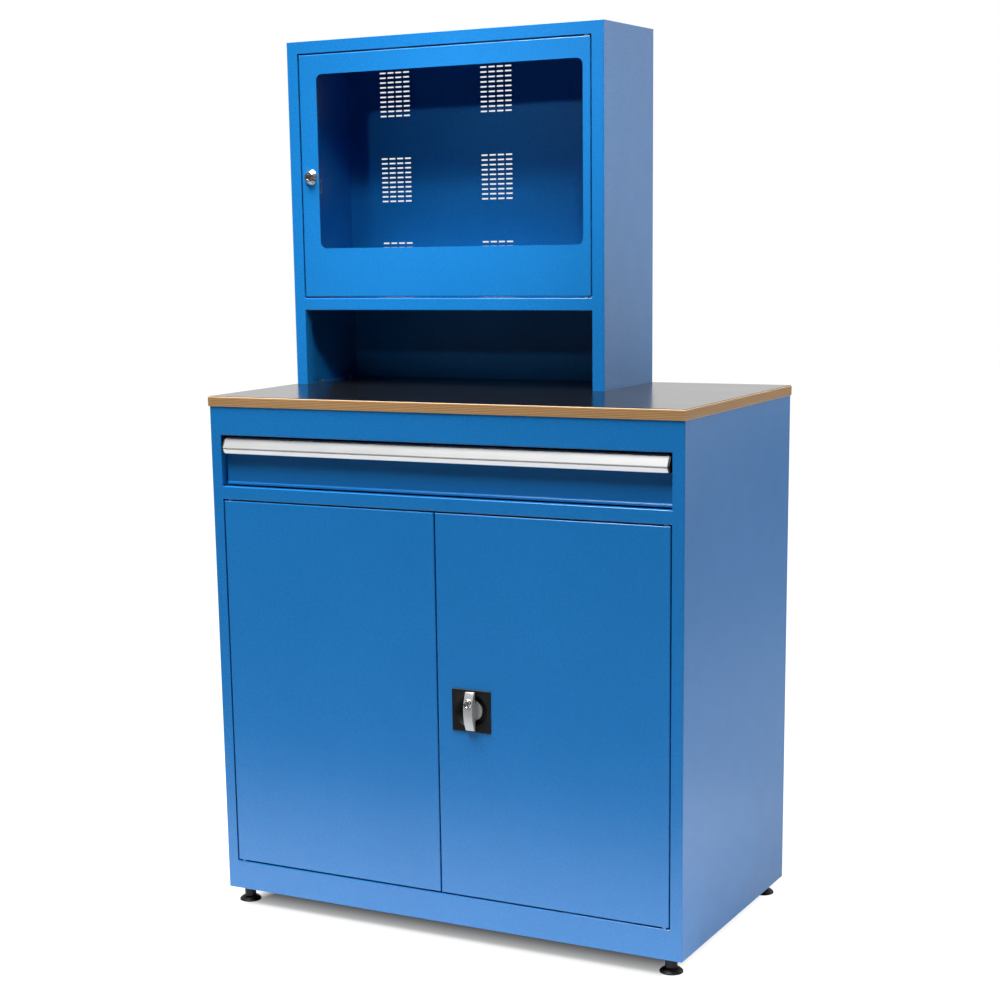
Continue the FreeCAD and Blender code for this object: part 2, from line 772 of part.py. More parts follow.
grip_back = plate_front - d.grip_lift
grip_end = grip_back - d.grip_end_thickness
half_grip = d.grip_length / 2
bow_radius = (half_grip * half_grip + d.grip_bow * d.grip_bow) / (2 * d.grip_bow)
half_width = d.grip_width / 2
grip_x = (lock_x - half_width, lock_x + half_width)
grip = profile_bar("Grip", grip_x, [
    (grip_back, lock_z - half_grip),
    (grip_back, lock_z + half_grip),
    (grip_end, lock_z + half_grip),
    (grip_end, lock_z - half_grip),
], {2: (bow_radius, -1)})
rotor_back = dish_floor - d.seat_clearance
rotor_front = rotor_back - d.rotor_thickness
half_neck = d.grip_neck_height / 2
key_z = lock_z + d.key_offset
key_front = grip_end - d.grip_bow - d.key_ring_proud
key_back = key_front + d.key_barrel_length
casting = fuse(
    grip,
    box(grip_x, (grip_back - PAST, rotor_front + PAST), (lock_z - half_neck, lock_z + half_neck)),
    bar("y", (rotor_front, rotor_back), d.rotor_radius, x=lock_x, z=lock_z),
    bar("y", (rotor_front, cam_back), d.handle_shaft_radius, x=lock_x, z=lock_z),
    bar("y", (key_front, grip_back), d.key_ring_radius, x=lock_x, z=key_z),
)
key_bore = bar("y", (key_front - PAST, key_back), d.key_barrel_radius + d.run_clearance, x=lock_x, z=key_z)
sub_part(cut(casting, key_bore), "turn_handle")

barrel = bar("y", (key_front + d.seat_clearance, key_back), d.key_barrel_radius, x=lock_x, z=key_z)
half_slot = d.key_slot_length / 2
key_slot = box((lock_x - d.key_slot_width / 2, lock_x + d.key_slot_width / 2),
               (key_front - PAST, key_front + d.seat_clearance + d.key_slot_depth),
               (key_z - half_slot, key_z + half_slot))
sub_part(cut(barrel, key_slot), "lock_barrel")

pin_back = rod_back + d.seat_clearance
cam_disc = bar("y", (cam_front, cam_back), d.cam_plate_radius, x=lock_x, z=lock_z)
cam_pins = [bar("y", (cam_back - PAST, pin_back), d.cam_pin_radius,
                x=lock_x + pin_reach * hand, z=lock_z - pin_reach * hand) for hand in (1, -1)]
cam_bore = bar("y", (cam_front - PAST, cam_back + PAST), shaft_hole, x=lock_x, z=lock_z)
sub_part(cut(fuse(cam_disc, *cam_pins), cam_bore), "cam_plate")


def lock_rod(hand, tip):
    """A flat rod from the cam plate's pin to past the door's edge; hand is +1 upwards, -1 downwards."""
    middle = lock_x + rod_offset * hand
    root = lock_z - (pin_reach + half_rod) * hand
    low, high = (root, tip) if hand > 0 else (tip, root)
    flat = box((middle - half_rod, middle + half_rod), (rod_front, rod_back), (low, high))
    slot_half = d.cam_pin_radius + d.rod_slot_play
    near, far = (pin_reach - slot_half) * hand, (d.cam_pin_circle + slot_half) * hand
    slot_x = (lock_x + near, lock_x + far) if hand > 0 else (lock_x + far, lock_x + near)
    pin_z = lock_z - pin_reach * hand
    slot = box(slot_x, (rod_front - PAST, rod_back + PAST), (pin_z - slot_half, pin_z + slot_half))
    return cut(flat, slot)


def rod_guide(hand, middle_z):
    """A block on the back of the door's face that the rod slides through."""
    middle = lock_x + rod_offset * hand
    half = half_rod + rod_play
    wide = half_rod + d.rod_guide_wall
    z = (middle_z - d.rod_guide_height / 2, middle_z + d.rod_guide_height / 2)
    block = box((middle - wide, middle + wide), (gauge, rod_back + d.rod_guide_wall), z)
    way = box((middle - half, middle + half), (rod_front - rod_play, rod_back + rod_play),
              (z[0] - PAST, z[1] + PAST))
    return cut(block, way)


sub_part(lock_rod(1, door_top + d.rod_tip_reach), "upper_rod")
sub_part(lock_rod(-1, door_bottom - d.rod_tip_reach), "lower_rod")
sub_part(group(rod_guide(1, door_top - d.rod_guide_inset),
               rod_guide(-1, door_bottom + d.rod_guide_inset)), "rod_guides")

# Drawer: folded front, aluminium handle rail with end caps, and the tray behind
drawer_x = (d.stile_width + d.drawer_side_gap, d.base_width - d.stile_width - d.drawer_side_gap)
front_y = d.drawer_recess
front_back = front_y + gauge
front_low = middle_rail_top + d.drawer_floor_gap
front_high = top_rail_bottom - d.drawer_top_gap
hem_y = front_y - d.drawer_hem_proud
hem_top = front_low + d.drawer_hem_height
drawer_front = profile_bar("DrawerFront", drawer_x, [
    (front_y, front_high),
    (front_y, hem_top + d.drawer_cove_radius),
    (front_y - d.drawer_cove_radius, hem_top),
    (hem_y + d.drawer_hem_round, hem_top),
    (hem_y, hem_top - d.drawer_hem_round),
    (hem_y, front_low),
    (front_back, front_low),
    (front_back, front_high),
], {1: (d.drawer_cove_radius, 1), 3: (d.drawer_hem_round, -1)})
sub_part(drawer_front, "drawer_front")

wall = d.handle_wall
handle_low = front_high - d.handle_height
nose_y = -d.handle_nose_proud
nose_top = front_high - d.handle_nose_drop
nose_low = nose_top - d.handle_nose_height
lip_foot_y = nose_y + d.handle_top_setback
handle_section = [
    (front_y, front_high),
    (d.handle_top_setback, front_high),
    (nose_y, nose_top),
    (nose_y, nose_low),
    (lip_foot_y, handle_low),
]
handle_inside = [
    (lip_foot_y + wall, handle_low + wall / 2),
    (nose_y + wall, nose_low),
    (nose_y + wall, nose_top - wall / 2),
    (d.handle_top_setback + wall / 2, front_high - wall),
    (front_y - wall, front_high - wall),
    (front_y - wall, front_high - d.handle_back_height),
    (front_y, front_high - d.handle_back_height),
]
handle_x = (drawer_x[0] + d.end_cap_thickness, drawer_x[1] - d.end_cap_thickness)
sub_part(profile_bar("DrawerHandle", handle_x, handle_section + handle_inside), "drawer_handle")
cap_section = handle_section + [(front_y, handle_low)]
sub_part(group(profile_bar("EndCap", (drawer_x[0], handle_x[0]), cap_section),
               profile_bar("EndCap", (handle_x[1], drawer_x[1]), cap_section)), "drawer_end_caps")

slide_x = d.stile_width + d.slide_stile_gap
tray_side = slide_x + d.slide_thickness
tray_x = (tray_side, d.base_width - tray_side)
tray_y = (front_back, back_inside - d.tray_back_room)
tray_low = front_low + d.tray_lift
tray_high = front_high - d.tray_top_room
tray_skin = d.tray_gauge
tray = box(tray_x, tray_y, (tray_low, tray_high))
tray_room = box((tray_x[0] + tray_skin, tray_x[1] - tray_skin),
                (tray_y[0] + tray_skin, tray_y[1] - tray_skin),
                (tray_low + tray_skin, tray_high + PAST))
sub_part(cut(tray, tray_room), "drawer_tray")

# Telescopic slides: outer member on its bracket, middle member running in it, inner member on the tray
slide_low = tray_low + d.slide_rise
slide_y = (d.slide_setback, tray_y[1] - d.slide_end_room)
step = d.slide_gauge + d.slide_play


def slide_channel(side, span, inset, open_to_tray):
    """A channel of the slide: its web and two lips, opening towards the tray or away from it."""
    z = (slide_low + inset, slide_low + d.slide_height - inset)
    skin = d.slide_gauge
    bar_box = box(mirrored_span(side, span, d.base_width), slide_y, z)
    low, high = (span[0] + skin, span[1] + PAST) if open_to_tray else (span[0] - PAST, span[1] - skin)
    room = box(mirrored_span(side, (low, high), d.base_width),
               (slide_y[0] - PAST, slide_y[1] + PAST), (z[0] + skin, z[1] - skin))
    return cut(bar_box, room)


brackets = []
for side in SIDES:
    outer_x = (slide_x, tray_side - step)
    middle_x = (slide_x + step, tray_side - step)
    inner_x = (slide_x + step * 2, tray_side)
    sub_part(slide_channel(side, outer_x, 0, True), "slide_outer_" + side)
    sub_part(slide_channel(side, middle_x, step, True), "slide_middle_" + side)
    sub_part(slide_channel(side, inner_x, step * 2, False), "slide_inner_" + side)
    brackets.append(slide_channel(side, (gauge, slide_x), 0, False))
sub_part(group(*brackets), "slide_brackets")

# Shelf in the cupboard, on four clips
shelf_x = (gauge + d.shelf_side_gap, d.base_width - gauge - d.shelf_side_gap)
shelf_y = (d.shelf_setback, back_inside - d.shelf_side_gap)
shelf = box(shelf_x, shelf_y, (d.shelf_level, d.shelf_level + d.shelf_fold))
shelf_room = box((shelf_x[0] + gauge, shelf_x[1] - gauge), (shelf_y[0] + gauge, shelf_y[1] - gauge),
                 (d.shelf_level - PAST, d.shelf_level + d.shelf_fold - gauge))
sub_part(cut(shelf, shelf_room), "shelf")
clip_y = [(shelf_y[0] + d.clip_inset, shelf_y[0] + d.clip_inset + d.clip_length),
          (shelf_y[1] - d.clip_inset - d.clip_length, shelf_y[1] - d.clip_inset)]
clip_z = (d.shelf_level - d.clip_gauge, d.shelf_level)
clips = [box(mirrored_span(side, (gauge, gauge + d.clip_reach), d.base_width), y, clip_z)
         for side in SIDES for y in clip_y]
sub_part(group(*clips), "shelf_clips")

# Screen housing
deck_bottom = d.bay_height
deck_top = deck_bottom + d.deck_rail_height
screen_bottom = deck_top + d.door_gap
screen_top = screen_bottom + d.screen_door_height
roof_rail_bottom = screen_top + d.door_gap
housing_height = roof_rail_bottom + d.roof_rail_height
under_roof = housing_height - gauge
housing_stiles = (d.housing_stile_width, d.housing_width - d.housing_stile_width)
housing_inside = (gauge, d.housing_width - gauge)
housing_back_front = d.housing_depth - 2 * gauge
screen_edge = d.housing_stile_width + d.door_gap
screen_x = (screen_edge, d.housing_width - screen_edge)
screen_z = (screen_bottom, screen_top)
screen_pivot_x = screen_x[1] - d.pivot_from_edge
flange_cut = (-PAST, gauge + PAST)

for side in SIDES:
    wall_panel = folded_side(side, d.housing_width, d.housing_stile_width, d.housing_depth, under_roof,
                             (-PAST, under_roof + PAST), d.housing_depth + PAST)
    strip_x = mirrored_span(side, (gauge, d.housing_stile_width), d.housing_width)
    foot_strip = box(strip_x, (d.stile_return, d.housing_depth - gauge), (0, gauge))
    rear_strip = box(strip_x, (d.housing_depth - gauge, d.housing_depth), (0, under_roof))
    foot_strip = cut(foot_strip, *housing_bolt_bars(bolt_hole, flange_cut, False))
    sub_part(group(wall_panel, foot_strip, rear_strip), "housing_%s_side" % side, HOUSING)

roof = rounded(box((0, d.housing_width), (0, d.housing_depth), (roof_rail_bottom, housing_height)),
               d.roof_edge_radius, {"y": 0, "z": housing_height}, {"y": 0, "z": roof_rail_bottom})
roof_cuts = [
    box((-PAST, d.housing_width + PAST), (gauge, d.housing_depth + PAST),
        (roof_rail_bottom + gauge, under_roof)),
    box((-PAST, d.housing_width + PAST), (d.rail_lip, d.housing_depth + PAST),
        (roof_rail_bottom - PAST, under_roof)),
]
for side in SIDES:
    corner_x = mirrored_span(side, (-PAST, d.housing_stile_width), d.housing_width)
    roof_cuts.append(box(corner_x, (-PAST, d.housing_depth + PAST),
                         (roof_rail_bottom - PAST, under_roof)))
pivot_top_hole = bar("z", (roof_rail_bottom - PAST, roof_rail_bottom + gauge + PAST), bush_hole,
                     x=screen_pivot_x, y=pivot_depth)
sub_part(cut(roof, fuse(*roof_cuts), pivot_top_hole), "housing_top", HOUSING)

deck_front = rounded(box(housing_stiles, (0, d.rail_lip), (deck_bottom, deck_top)), d.bend_radius,
                     {"y": 0, "z": deck_bottom}, {"y": 0, "z": deck_top})
deck_hollow = box((0, d.housing_width), (gauge, d.rail_lip + PAST), (deck_bottom + gauge, deck_top - gauge))
deck_sheet_front = box(housing_stiles, (d.rail_lip / 2, d.stile_return), (deck_top - gauge, deck_top))
deck_sheet = box(housing_inside, (d.stile_return, housing_back_front), (deck_top - gauge, deck_top))
pivot_deck_hole = bar("z", (deck_top - gauge - PAST, deck_top + PAST), bush_hole,
                      x=screen_pivot_x, y=pivot_depth)
deck = fuse(cut(deck_front, deck_hollow), deck_sheet_front, deck_sheet)
sub_part(cut(deck, pivot_deck_hole), "housing_deck", HOUSING)


def housing_bolts():
    """A bolt down through each flange hole, with a hexagonal head."""
    head = (gauge, gauge + d.housing_bolt_head_height)
    for x, y in housing_bolt_places():
        yield fuse(bar("z", (gauge - d.housing_bolt_length, gauge), d.housing_bolt_radius, x=x, y=y),
                   hexagon("z", head, d.housing_bolt_head_radius, x=x, y=y))


sub_part(group(*housing_bolts()), "housing_bolts", HOUSING)


def vented_back():
    """The back sheet with its groups of vent slots: one face, open at the slots, given its thickness."""
    def wire(*spots):
        corners = [FreeCAD.Vector(x, float(housing_back_front), z) for x, z in spots]
        return Part.makePolygon(corners + corners[:1])

    def slot(x, z):
        half_w, half_h = float(d.vent_slot_width) / 2, float(d.vent_slot_height) / 2
        return wire((x - half_w, z - half_h), (x + half_w, z - half_h),
                    (x + half_w, z + half_h), (x - half_w, z + half_h))

    first_z = float(under_roof - d.vent_top_margin)
    middle_x = float(d.housing_width / 2 + d.vent_offset_x)
    left, right = map(float, housing_inside)
    foot_left, foot_right = map(float, housing_stiles)
    flange_top, top_edge = float(gauge), float(under_roof)
    wires = [wire((foot_left, 0), (foot_right, 0), (foot_right, flange_top), (right, flange_top),
                  (right, top_edge), (left, top_edge), (left, flange_top), (foot_left, flange_top))]
    for group_x in range(VENT_GROUPS):
        for group_z in range(VENT_GROUPS):
            centre = middle_x + (group_x - (VENT_GROUPS - 1) / 2) * float(d.vent_group_pitch_x)
            top = first_z - group_z * float(d.vent_group_pitch_z)
            for column in range(VENT_COLUMNS):
                for line in range(VENT_ROWS):
                    x = centre + (column - (VENT_COLUMNS - 1) / 2) * float(d.vent_column_pitch)
                    z = top - line * float(d.vent_row_pitch)
                    wires.append(slot(x, z))
    return Part.makeFace(wires, "Part::FaceMakerBullseye").extrude(FreeCAD.Vector(0, float(gauge), 0))


back = doc.addObject("Part::Feature", "VentedBack")
back.Shape = vented_back()
sub_part(back, "housing_back", HOUSING)

# Screen door: pan with a window, pane and clips, pivots at the right edge
barrel_hole = d.cam_lock_barrel_radius + d.run_clearance
lock_nut_radius = (barrel_hole + d.cam_lock_nut_wall) / COS_30
cam_lock_x = screen_x[0] + d.cam_lock_from_edge
cam_lock_z = screen_bottom + d.screen_door_height / 2
pane_left = cam_lock_x + lock_nut_radius + d.window_lock_gap
window_x = (pane_left + d.pane_overlap, screen_x[1] - d.window_hinge_margin)
window_z = (screen_bottom + d.window_bottom_margin, screen_top - d.window_top_margin)
window_cut = rounded(box(window_x, (-PAST, gauge + PAST), window_z), d.window_corner_radius,
                     *[{"x": x, "z": z} for x in window_x for z in window_z])
lock_hole = bar("y", (-PAST, gauge + PAST), barrel_hole, x=cam_lock_x, z=cam_lock_z)
sub_part(door_pan(screen_x, screen_z, [window_cut, lock_hole] + pan_pin_holes(screen_pivot_x, screen_z)),
         "screen_door", HOUSING)
sub_part(pivots("right", screen_pivot_x, screen_z), "screen_door_pivots", HOUSING)
sub_part(group(*bushes(screen_pivot_x, screen_z)), "screen_door_bushes", HOUSING)

pane_x = (pane_left, window_x[1] + d.pane_overlap)
pane_z = (window_z[0] - d.pane_overlap, window_z[1] + d.pane_overlap)
pane_back = gauge + d.pane_thickness
sub_part(group(box(pane_x, (gauge, pane_back), pane_z)), "window_pane", HOUSING)


def pane_clips():
    """Clips along the pane's upper and lower edges: a foot on the door and a finger over the pane."""
    outer = pane_back + d.pane_clip_gauge
    reach = d.pane_clip_foot
    step_x = (window_x[1] - window_x[0]) / (PANE_CLIPS + 1)
    for number in range(1, PANE_CLIPS + 1):
        centre = window_x[0] + step_x * number
        x = (centre - d.pane_clip_length / 2, centre + d.pane_clip_length / 2)
        yield fuse(box(x, (gauge, outer), (pane_z[1], pane_z[1] + reach)),
                   box(x, (pane_back, outer), (window_z[1], pane_z[1] + reach)))
        yield fuse(box(x, (gauge, outer), (pane_z[0] - reach, pane_z[0])),
                   box(x, (pane_back, outer), (pane_z[0] - reach, window_z[0])))


sub_part(group(*pane_clips()), "pane_clips", HOUSING)

# Cam lock of the screen door
tongue_front = d.stile_return + d.tongue_clearance
tongue_back = tongue_front + d.tongue_gauge
plug_hole = d.cam_lock_plug_radius + d.run_clearance
lock_front = -d.cam_lock_proud
collar = cone("y", (lock_front, 0), (d.cam_lock_face_radius, d.cam_lock_collar_radius),
              x=cam_lock_x, z=cam_lock_z)
barrel_back = tongue_front - d.seat_clearance
thread = bar("y", (-d.cam_lock_proud / 2, barrel_back), d.cam_lock_barrel_radius, x=cam_lock_x, z=cam_lock_z)
plug_bore = bar("y", (lock_front - PAST, barrel_back + PAST), plug_hole, x=cam_lock_x, z=cam_lock_z)
sub_part(cut(fuse(collar, thread), plug_bore), "cam_lock_body", HOUSING)

nut_back = gauge + d.cam_lock_nut_height
nut_body = hexagon("y", (gauge, nut_back), lock_nut_radius, x=cam_lock_x, z=cam_lock_z)
nut_bore = bar("y", (0, nut_back + PAST), barrel_hole, x=cam_lock_x, z=cam_lock_z)
sub_part(cut(nut_body, nut_bore), "cam_lock_nut", HOUSING)

plug_front = lock_front + d.seat_clearance
plug = bar("y", (plug_front, tongue_back), d.cam_lock_plug_radius, x=cam_lock_x, z=cam_lock_z)
plug_slot = box((cam_lock_x - d.key_slot_width / 2, cam_lock_x + d.key_slot_width / 2),
                (plug_front - PAST, plug_front + d.key_slot_depth),
                (cam_lock_z - half_slot, cam_lock_z + half_slot))
sub_part(cut(plug, plug_slot), "cam_lock_plug", HOUSING)

half_tongue = d.tongue_width / 2
tongue_y = (tongue_front, tongue_back)
tongue = fuse(box((cam_lock_x - half_tongue, cam_lock_x + half_tongue), tongue_y,
                  (cam_lock_z - d.tongue_length, cam_lock_z)),
              bar("y", tongue_y, half_tongue, x=cam_lock_x, z=cam_lock_z))
tongue_bore = bar("y", (tongue_front - PAST, tongue_back + PAST), plug_hole,
                  x=cam_lock_x, z=cam_lock_z)
sub_part(cut(tongue, tongue_bore), "cam_tongue", HOUSING)

# Check every item, then write each piece
doc.recompute()
failed = [item.Label for item in doc.Objects if "Invalid" in item.State or "Error" in item.State]
failed += [item.Label for item in sub_parts if item.Shape.isNull() or not item.Shape.isValid()]
if failed:
    raise SystemExit("not built: " + ", ".join(failed))
os.makedirs("parts", exist_ok=True)
for item in sub_parts:
    item.Shape.exportStep("parts/%s.step" % item.Label)
    print("%-22s %2d solids %12.1f mm3" % (item.Label, len(item.Shape.Solids), item.Shape.Volume))
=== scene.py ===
# %% [markdown]
# # A workshop computer cabinet, dressed for its photograph
#
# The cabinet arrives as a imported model: every sheet, lock and slide is already a piece of its own, in
# metres, standing on the floor at the origin with its front towards -Y. This lesson gives those pieces
# their finishes, remakes the few that need finer forms than the model holds, and sets up a studio round
# the whole.

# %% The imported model
import json
import math
import bmesh
import bpy
from mathutils import Matrix, Vector


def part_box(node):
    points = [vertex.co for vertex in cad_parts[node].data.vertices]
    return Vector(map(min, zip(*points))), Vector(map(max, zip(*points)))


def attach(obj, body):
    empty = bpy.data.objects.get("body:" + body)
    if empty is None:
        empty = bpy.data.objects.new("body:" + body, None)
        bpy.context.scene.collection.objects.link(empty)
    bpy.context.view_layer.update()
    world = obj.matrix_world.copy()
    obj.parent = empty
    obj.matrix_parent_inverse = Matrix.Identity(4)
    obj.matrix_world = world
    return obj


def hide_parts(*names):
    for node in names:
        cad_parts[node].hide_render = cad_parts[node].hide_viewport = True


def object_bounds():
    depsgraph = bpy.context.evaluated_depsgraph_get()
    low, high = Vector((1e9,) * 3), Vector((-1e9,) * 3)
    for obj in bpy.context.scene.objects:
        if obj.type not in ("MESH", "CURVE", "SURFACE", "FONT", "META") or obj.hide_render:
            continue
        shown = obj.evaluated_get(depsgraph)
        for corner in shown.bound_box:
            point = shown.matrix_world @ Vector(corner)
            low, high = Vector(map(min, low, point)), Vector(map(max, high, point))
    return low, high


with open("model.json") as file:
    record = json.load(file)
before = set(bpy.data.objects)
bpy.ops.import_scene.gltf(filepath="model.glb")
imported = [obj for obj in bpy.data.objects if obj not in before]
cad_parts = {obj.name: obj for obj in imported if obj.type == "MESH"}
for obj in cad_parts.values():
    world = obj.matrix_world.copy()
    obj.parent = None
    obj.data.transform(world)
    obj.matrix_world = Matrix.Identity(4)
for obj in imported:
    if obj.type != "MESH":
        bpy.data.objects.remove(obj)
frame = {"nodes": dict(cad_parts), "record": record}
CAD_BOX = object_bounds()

# %% [markdown]
# ## Sums on sockets
#
# A finish is a small sum: grain times strength plus a base. Blender spells each step as a Math node, which
# is slow to read. So a wire stands for one socket, and Python's own operators on wires add the Math nodes.
# Every other kind of node comes from one method, which takes its type, its settings and what goes into its
# sockets.

# %% Wires
class Wire:
    """One output socket of a finish, fit for sums."""

    def __init__(self, finish, socket):
        self.finish = finish
        self.socket = socket

    def sum_with(self, operation, first, second):
        return self.finish.node("ShaderNodeMath", {"operation": operation}, {0: first, 1: second})

    def __add__(self, other):
        return self.sum_with("ADD", self, other)

    def __sub__(self, other):
        return self.sum_with("SUBTRACT", self, other)

    def __mul__(self, other):
        return self.sum_with("MULTIPLY", self, other)

    def __radd__(self, other):
        return self.sum_with("ADD", other, self)

    def __rsub__(self, other):
        return self.sum_with("SUBTRACT", other, self)

    def __rmul__(self, other):
        return self.sum_with("MULTIPLY", other, self)


print("wires add, subtract and multiply")

# %% Finishes
EVEN = (1.0, 1.0, 1.0)


class Finish:
    """A material with its nodes: constants go straight onto the shader's own sockets."""

    def __init__(self, name, **constants):
        self.material = bpy.data.materials.new(name)
        self.material.use_nodes = True
        self.tree = self.material.node_tree
        self.shader = self.tree.nodes["Principled BSDF"]
        for socket, value in constants.items():
            self.shader.inputs[socket.replace("_", " ")].default_value = value

    def node(self, kind, settings, inlets, outlet=0):
        made = self.tree.nodes.new(kind)
        for name, value in settings.items():
            setattr(made, name, value)
        for name, value in inlets.items():
            self.feed(made.inputs[name], value)
        return Wire(self, made.outputs[outlet])

    def feed(self, socket, value):
        if isinstance(value, Wire):
            self.tree.links.new(value.socket, socket)
        else:
            socket.default_value = value

    def set(self, socket, value):
        self.feed(self.shader.inputs[socket], value)

    def place(self, scale=EVEN):
        """Where a point lies on its piece, in metres, stretched for grain that runs one way."""
        spot = self.node("ShaderNodeTexCoord", {}, {}, "Object")
        return self.node("ShaderNodeMapping", {}, {"Vector": spot, "Scale": scale})

    def axis(self, name):
        return self.node("ShaderNodeSeparateXYZ", {}, {"Vector": self.place()}, name)

    def noise(self, scale, detail, stretch=EVEN):
        inlets = {"Vector": self.place(stretch), "Scale": scale, "Detail": detail}
        return self.node("ShaderNodeTexNoise", {}, inlets, "Fac")

    def blend(self, share, first, second):
        return self.node("ShaderNodeMix", {"data_type": "RGBA"}, {0: share, 6: first, 7: second}, 2)

    def between(self, value, low, high):
        """0 below low, 1 above high, and smooth from one to the other."""
        return self.node("ShaderNodeMapRange", {"interpolation_type": "SMOOTHSTEP"},
                         {"Value": value, "From Min": low, "From Max": high})

    def bump(self, height, strength, depth):
        inlets = {"Height": height, "Strength": strength, "Distance": depth}
        self.set("Normal", self.node("ShaderNodeBump", {}, inlets))


print("finishes start from an even grain of", EVEN)


# %% Colours
def linear(level):
    """One channel as it is read off a screen, 0 to 255, in linear light, by the sRGB curve."""
    share = level / 255
    return share / 12.92 if share <= 0.04045 else ((share + 0.055) / 1.055) ** 2.4


def rgba(red, green, blue):
    return (linear(red), linear(green), linear(blue), 1.0)


def grey(level):
    """A grey that is already in linear light."""
    return (level, level, level, 1.0)


print("a mid grey of 188 is", round(linear(188), 3), "in linear light")

# %% [markdown]
# ## Powder coat
#
# The steel sheet is sprayed with dry powder and baked. The skin flows out to a satin blue with a faint
# orange peel: low swells about three millimetres across with a finer grit between them. Both are noise in
# the bump, and the grit also shifts colour and roughness a little, which keeps the large doors from looking
# like flat plastic.

# %% The blue powder coat
MM = 0.001
DEEPER, PALER, PALER_LIFT = 0.9, 1.09, 0.002


def powder_coat(name, color):
    paint = Finish(name, IOR=1.6)
    swell = paint.noise(scale=330.0, detail=2.0)
    grit = paint.noise(scale=1100.0, detail=3.0)
    cloud = paint.noise(scale=3.5, detail=2.0)
    tone = 0.5 + (grit - 0.5) * 0.5 + (cloud - 0.5) * 0.6
    deep = (*(c * DEEPER for c in color[:3]), 1.0)
    pale = (*(min(1.0, c * PALER + PALER_LIFT) for c in color[:3]), 1.0)
    paint.set("Base Color", paint.blend(tone, deep, pale))
    paint.set("Roughness", 0.2 + grit * 0.1 + cloud * 0.04)
    paint.bump(swell * 0.6 + grit * 0.4, strength=0.09, depth=0.4 * MM)
    return paint.material


blue_paint = powder_coat("blue_powder_coat", rgba(18, 112, 181))
print("mixed", blue_paint.name)

# %% [markdown]
# ## Worktop
#
# The board is birch ply: thin veneers laid crosswise, so its sawn edge shows pale and brown lines, one
# veneer each. Height above the board's underside picks the veneer, and noise drawn out along the edge gives
# the fibres. The planed arrises catch the light, and the edge is painted paler near them: a painted
# highlight. The laminate on top is charcoal with a tight satin grain.

# %% Ply edge
core_low, core_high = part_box("worktop_core")
PLY_LAYERS = 13
FIBRE_STRETCH, STREAK_STRETCH = (1.0, 1.0, 26.0), (0.25, 0.25, 12.0)


def plywood(name):
    ply = Finish(name, Roughness=0.62)
    up = (ply.axis("Z") - core_low.z) * (1.0 / (core_high.z - core_low.z))
    wander = (ply.noise(scale=9.0, detail=3.0) - 0.5) * 0.05
    veneers = (up + wander) * PLY_LAYERS
    layer = ply.node("ShaderNodeMath", {"operation": "PINGPONG"}, {0: veneers, 1: 1.0})
    fibre = ply.noise(scale=60.0, detail=4.0, stretch=FIBRE_STRETCH)
    streak = 0.35 + ply.noise(scale=30.0, detail=3.0, stretch=STREAK_STRETCH) * 0.9
    pale = ply.between(layer, low=0.2, high=0.8) * streak
    veneer = ply.blend(pale, rgba(140, 100, 58), rgba(203, 164, 112))
    sawn = ply.blend(fibre * 0.45, veneer, rgba(112, 76, 40))
    # painted highlight: the edge pales near the top and bottom arrises
    arris_highlight = 1.0 - ply.between(up, low=0.02, high=0.09) + ply.between(up, low=0.91, high=0.98)
    ply.set("Base Color", ply.blend(arris_highlight * 0.6, sawn, rgba(208, 180, 140)))
    ply.bump(layer * 0.5 + fibre * 0.5, strength=0.25, depth=0.3 * MM)
    return ply.material


ply_edge = plywood("birch_ply_edge")
print("board from", round(core_low.z, 4), "to", round(core_high.z, 4), "with", PLY_LAYERS, "veneers")


# %% Laminate
def laminate(name):
    top = Finish(name, IOR=1.65)
    grain = top.noise(scale=900.0, detail=3.0)
    patch = top.noise(scale=14.0, detail=3.0)
    top.set("Base Color", top.blend(grain * 0.6 + patch * 0.3, rgba(8, 9, 11), rgba(17, 18, 21)))
    top.set("Roughness", 0.15 + grain * 0.06 + patch * 0.04)
    top.bump(grain, strength=0.1, depth=0.2 * MM)
    return top.material


charcoal_top = laminate("charcoal_laminate")
print("mixed", charcoal_top.name)

# %% [markdown]
# ## Bare metals
#
# Four bare metals show: the drawn aluminium of the handle rail, whose fine lines run along its length, the
# lacquered casting of the turn handle, the polished locks, and zinc-plated steel inside. They differ in how
# rough they are and which way their grain runs, so one function with a stretch for the grain makes them
# all. Below the crease under its nose the handle's lip leans down towards the bright floor, so there the
# same metal is painted paler and more metallic: painted light from the floor.

# %% Metals
# painted floor light: below the crease the handle's lip gets this paler tone and higher metallic
PAINTED_LIGHT_TONE, PAINTED_LIGHT_METALLIC, PAINTED_LIGHT_EDGE = rgba(222, 221, 218), 0.8, 1 * MM


def metal(name, dark, light, rough, grain_scale, stretch, depth, metallic=1.0, painted_light_below=None):
    skin = Finish(name, Metallic=metallic)
    grain = skin.noise(scale=grain_scale, detail=3.0, stretch=stretch)
    cloud = skin.noise(scale=25.0, detail=2.0)
    color = skin.blend(grain * 0.6 + cloud * 0.4, dark, light)
    if painted_light_below is not None:
        # painted floor light: paler and more metallic below the given height
        painted_light = 1.0 - skin.between(skin.axis("Z"), painted_light_below - PAINTED_LIGHT_EDGE, painted_light_below)
        color = skin.blend(painted_light, color, PAINTED_LIGHT_TONE)
        skin.set("Metallic", metallic + painted_light * (PAINTED_LIGHT_METALLIC - metallic))
    skin.set("Base Color", color)
    skin.set("Roughness", rough + (grain - 0.5) * 0.12 + (cloud - 0.5) * 0.06)
    skin.bump(grain, strength=0.1, depth=depth)
    return skin.material


CREASE_DROP = 22.2
crease_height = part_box("drawer_handle")[1].z - CREASE_DROP * MM
# below this height the rail's metal is painted paler: painted floor light
print("the rail's metal is rubbed below", round(crease_height, 4))

